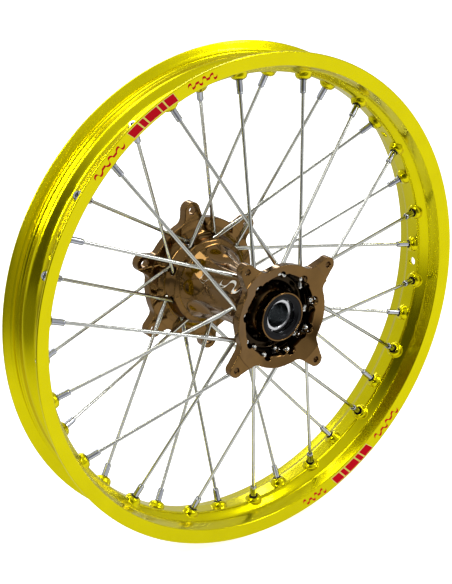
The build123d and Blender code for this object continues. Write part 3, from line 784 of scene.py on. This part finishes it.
def build_nipple_rings():
    """A black ring in each boss round its nipple, which is painted shade: a dark piece put in the gap between
    nipple and hole, where shade falls. And the bright collar at each nipple's tip.
    """
    lines = spoke_lines()
    for name, look, section, shift in (
        # The black ring is painted shade, a dark piece filling the shaded gap round each nipple.
        ("nipple_gap_shade_rings", "seal", RING_SECTION, 0.0),
        ("nipple_collars", "nipple", COLLAR_SECTION, -NIPPLE_OUT),
    ):
        points, quads = rings_on([(top + along * shift, along) for _, top, along in lines], section)
        mesh = bpy.data.meshes.new(name)
        fill(mesh, points * MM, quads)
        face_out(mesh)
        place(mesh, name, look, "wheel")


def wall_y(wall, radius):
    (start_r, start_y), (end_r, end_y) = wall
    return start_y + (end_y - start_y) * (radius - start_r) / (end_r - start_r)


def build_knurl():
    """The ribbed bands that grip the tyre's beads."""
    count = 2 * KNURL_RIBS
    angles = 2 * pi * np.arange(count) / count
    ridge = np.where(np.arange(count) % 2, KNURL_HEIGHT, KNURL_VALLEY)
    loop = [(radius, part, 0.0) for radius, part in zip(KNURL_R, (-0.1, 1.0, 1.0, 1.0, -0.1))]
    loop += [(radius, 0, -KNURL_SUNK) for radius in (KNURL_R[-1], KNURL_R[0])]
    points, quads = [], []
    for side in (-1, 1):
        rows = []
        for radius, part, sunk in loop:
            lift = np.where(part > 0, ridge * part, part) + sunk
            rows.append(sum(len(block) for block in points) + np.arange(count))
            points.append(polar(radius, angles, side * (wall_y(KNURL_WALL, radius) - lift)))
        for row, after in zip(rows, rows[1:] + rows[:1]):
            quads.append(band(row, after))
    mesh = bpy.data.meshes.new("bead_knurl")
    fill(mesh, np.concatenate(points) * MM, np.concatenate(quads))
    face_out(mesh)
    place(mesh, "bead_knurl", "rim", "wheel")


class Ribbons:
    """Thin closed ribbons, each between two lines of points, lifted off a surface."""

    def __init__(self):
        self.points, self.quads, self.count = [], [], 0

    def add(self, left, right, normals, lift, sunk=0.25):
        left, right, normals = (np.asarray(rows, float) for rows in (left, right, normals))
        loop = [left + normals * lift, right + normals * lift]
        loop += [right - normals * sunk, left - normals * sunk]
        size = len(left)
        rows = [self.count + number * size + np.arange(size) for number in range(4)]
        for row, after in zip(rows, rows[1:] + rows[:1]):
            self.quads.append(np.stack([row[:-1], row[1:], after[1:], after[:-1]], axis=1))
        self.quads.append(np.array([[row[0] for row in rows], [row[-1] for row in rows]]))
        self.points += loop
        self.count += 4 * size

    def place(self, name, look):
        mesh = bpy.data.meshes.new(name)
        fill(mesh, np.concatenate(self.points) * MM, np.concatenate(self.quads))
        face_out(mesh)
        mesh.polygons.foreach_set("use_smooth", np.zeros(len(mesh.polygons), bool))
        return place(mesh, name, look, "wheel")


def strip_point(angle, radius):
    """A point on the near flange's face and the face's direction."""
    angle = np.radians(angle)
    at = polar(radius, angle, -wall_y(STRIP_WALL, radius))
    (start_r, start_y), (end_r, end_y) = STRIP_WALL
    lean = np.array([start_y - end_y, start_r - end_r]) / hypot(end_y - start_y, end_r - start_r)
    return at, polar(np.full(np.shape(angle), lean[0]), angle, lean[1])


def bar(ribbons, start, end, half, lean, lift):
    """A slanted bar on the flange, half as tall as half says, leaning by lean degrees."""
    steps = np.linspace(0, 1, 7)
    sides = []
    for across in (-half, half):
        angle = start + (end - start) * steps + lean * across / half
        sides.append(strip_point(angle, np.full(len(steps), STRIP_MIDDLE_R + across)))
    ribbons.add(sides[0][0], sides[1][0], sides[0][1], lift)


def stroke(ribbons, start, end, half, width, waves, lift):
    """A wavy line on the flange."""
    steps = np.linspace(0, 1, 90)
    angle = start + (end - start) * steps
    wave = np.sin(2 * pi * waves * steps) * (0.6 + 0.4 * np.sin(5 * pi * steps))
    angle = angle + 0.16 * np.sin(4 * pi * waves * steps)
    radius = STRIP_MIDDLE_R + half * wave
    sides = [strip_point(angle, radius + across) for across in (-width / 2, width / 2)]
    ribbons.add(sides[0][0], sides[1][0], sides[0][1], lift)


def build_decals():
    """Generic red marks on the near flange, with a pale edge."""
    red, pale = Ribbons(), Ribbons()
    for start, end, kind in DECALS:
        if kind == "stroke":
            stroke(red, start, end, *STROKE)
            continue
        at = start
        gap = (end - start) * (1 - sum(BAR_WIDTHS)) / (len(BAR_WIDTHS) - 1)
        edge = BAR_EDGE if end > start else -BAR_EDGE
        for width in BAR_WIDTHS:
            stop = at + (end - start) * width
            bar(pale, at - edge, stop + edge, *BAR_PALE)
            bar(red, at, stop, *BAR_RED)
            at = stop + gap
    red.place("rim_marks", "mark_red")
    pale.place("rim_mark_edges", "mark_pale")


def build_barrel_marks(hub):
    """Generic white strokes along the barrel."""
    points = [vertex.co / MM for vertex in hub.data.vertices]
    tree = BVHTree.FromPolygons(points, [polygon.vertices for polygon in hub.data.polygons])
    ribbons = Ribbons()
    for low, high, middle, half, waves, width in BARREL_MARKS:
        steps = np.linspace(0, 1, 120)
        y = low + (high - low) * steps + 1.4 * np.sin(4 * pi * waves * steps)
        angle = np.radians(middle + half * np.sin(2 * pi * waves * steps))
        left, right, normals = [], [], []
        for level, turn in zip(y, angle):
            for edge, line in ((-width / 2, left), (width / 2, right)):
                swing = turn + edge / BARREL_R
                start = Vector((OUTSIDE_R * cos(swing), level, OUTSIDE_R * sin(swing)))
                hit, normal, _, _ = tree.ray_cast(start, Vector((-cos(swing), 0, -sin(swing))))
                line.append(hit)
            normals.append(normal)
        ribbons.add(left, right, normals, BARREL_MARK_LIFT)
    ribbons.place("barrel_marks", "mark_white")


hub_body = build_hub()
build_rim()
build_nipple_rings()
build_knurl()
build_decals()
build_barrel_marks(hub_body)

# ---------------------------------------------------------------- floor, light and camera
# How bright the studio looks in the wheel's metal: the floor in front of the wheel and behind it, the walls
# and ceiling, and the dark end of the room that lies in the DARK_END direction. Sizes are in metres.
FLOOR_FRONT, FLOOR_BACK, FLOOR_DARK = 0.95, 0.55, 0.2
ROOM, ROOM_DARK = 0.62, 0.06
DARK_END = Vector((-0.76, -0.64, 0.1)).normalized()
# Y where the floor's front ends and its back starts, and how far out its dark end starts and is full. Then
# the same for the room, as the cosine of the angle from DARK_END.
FLOOR_FADE = (-0.4, 0.5)
FLOOR_DARK_FADE = (0.4, 0.85)
ROOM_DARK_FADE = (0.68, 0.93)
FLOOR_HALF = 6.0
# Name, place, aim, width and height in metres, and watts.
LAMPS = [
    ("overhead", (-0.3, 0.3, 2.1), (0, 0, 0), (1.4, 1.0), 16),
    ("strip_left", (-1.7, -0.3, 1.5), (0, 0, 0), (0.3, 1.4), 26),
    ("strip_right", (1.3, -1.5, 1.5), (0, 0, 0), (0.25, 1.2), 14),
    ("strip_back", (0.5, 1.8, 1.1), (0, 0, 0), (1.4, 0.2), 8),
]


def seen_and_lit(tree, seen, lit):
    """Mixes what the camera sees of the studio with what lights and mirrors itself in the wheel."""
    rays = tree.nodes.new("ShaderNodeLightPath")
    mix = tree.nodes.new("ShaderNodeMixShader")
    tree.links.new(rays.outputs["Is Camera Ray"], mix.inputs[0])
    tree.links.new(lit, mix.inputs[1])
    tree.links.new(seen, mix.inputs[2])
    return mix.outputs[0]


def floor():
    mesh = bpy.data.meshes.new("floor")
    corners = [(FLOOR_HALF * x, FLOOR_HALF * y, FLOOR_Z) for x, y in ((-1, -1), (1, -1), (1, 1), (-1, 1))]
    mesh.from_pydata(corners, [], [(0, 1, 2, 3)])
    obj = bpy.data.objects.new("floor", mesh)
    bpy.context.scene.collection.objects.link(obj)
    s = Shader("pale_floor").set(Roughness=0.9)
    s.set(Base_Color=(0.9, 0.9, 0.9, 1), Emission_Color=(1, 1, 1, 1), Emission_Strength=0.8)
    lit = s.add("ShaderNodeEmission")
    place = s.add("ShaderNodeTexCoord").outputs["Object"]
    axes = s.add("ShaderNodeSeparateXYZ")
    s.link(place, axes.inputs[0])
    depth = s.add("ShaderNodeMapRange")
    for socket, value in zip(depth.inputs[1:5], (*FLOOR_FADE, 0, 1)):
        socket.default_value = value
    s.link(axes.outputs["Y"], depth.inputs["Value"])
    near = s.ramp(depth.outputs["Result"], [(0, FLOOR_FRONT), (1, FLOOR_BACK)])
    ahead = s.add("ShaderNodeVectorMath", operation="DOT_PRODUCT")
    ahead.inputs[1].default_value = DARK_END
    s.link(place, ahead.inputs[0])
    far = s.ramp(ahead.outputs["Value"], list(zip(FLOOR_DARK_FADE, (0.0, 1.0))))
    mix = s.add("ShaderNodeMix", data_type="RGBA")
    s.link(far, mix.inputs["Factor"])
    s.link(near, mix.inputs["A"])
    mix.inputs["B"].default_value = (FLOOR_DARK, FLOOR_DARK, FLOOR_DARK, 1)
    s.link(mix.outputs["Result"], lit.inputs["Color"])
    out = s.tree.nodes["Material Output"]
    s.link(seen_and_lit(s.tree, s.bsdf.outputs[0], lit.outputs[0]), out.inputs["Surface"])
    mesh.materials.append(s.material)


def area(name, place, aim, size, power):
    lamp = bpy.data.lights.new(name, "AREA")
    lamp.shape = "RECTANGLE"
    lamp.size, lamp.size_y = size
    lamp.energy = power
    obj = bpy.data.objects.new(name, lamp)
    bpy.context.scene.collection.objects.link(obj)
    obj.location = place
    obj.rotation_euler = (Vector(aim) - Vector(place)).to_track_quat("-Z", "Y").to_euler()
    obj.visible_camera = False


def studio():
    world = bpy.data.worlds.new("studio")
    bpy.context.scene.world = world
    world.use_nodes = True
    tree = world.node_tree
    seen = tree.nodes["Background"]
    seen.inputs["Color"].default_value = (1, 1, 1, 1)
    lit = tree.nodes.new("ShaderNodeBackground")
    place = tree.nodes.new("ShaderNodeTexCoord")
    ahead = tree.nodes.new("ShaderNodeVectorMath")
    ahead.operation = "DOT_PRODUCT"
    ahead.inputs[1].default_value = DARK_END
    tree.links.new(place.outputs["Generated"], ahead.inputs[0])
    shade = tree.nodes.new("ShaderNodeValToRGB")
    for element, position, grey in zip(shade.color_ramp.elements, ROOM_DARK_FADE, (ROOM, ROOM_DARK)):
        element.position = position
        element.color = (grey, grey, grey, 1)
    tree.links.new(ahead.outputs["Value"], shade.inputs["Fac"])
    tree.links.new(shade.outputs["Color"], lit.inputs["Color"])
    out = tree.nodes["World Output"]
    tree.links.new(seen_and_lit(tree, seen.outputs[0], lit.outputs[0]), out.inputs["Surface"])
    for row in LAMPS:
        area(*row)


def camera():
    data = bpy.data.cameras.new("camera")
    data.lens = 94.04
    data.sensor_width = 36
    data.clip_end = 50
    obj = bpy.data.objects.new("camera", data)
    bpy.context.scene.collection.objects.link(obj)
    obj.location = (-0.8547, -1.1608, 0.5582)
    forward = Vector((0.5449, 0.7583, -0.3580))
    obj.rotation_mode = "QUATERNION"
    obj.rotation_quaternion = forward.to_track_quat("-Z", "Y")
    bpy.context.scene.camera = obj


floor()
studio()
camera()
bpy.context.scene.view_settings.view_transform = "Standard"
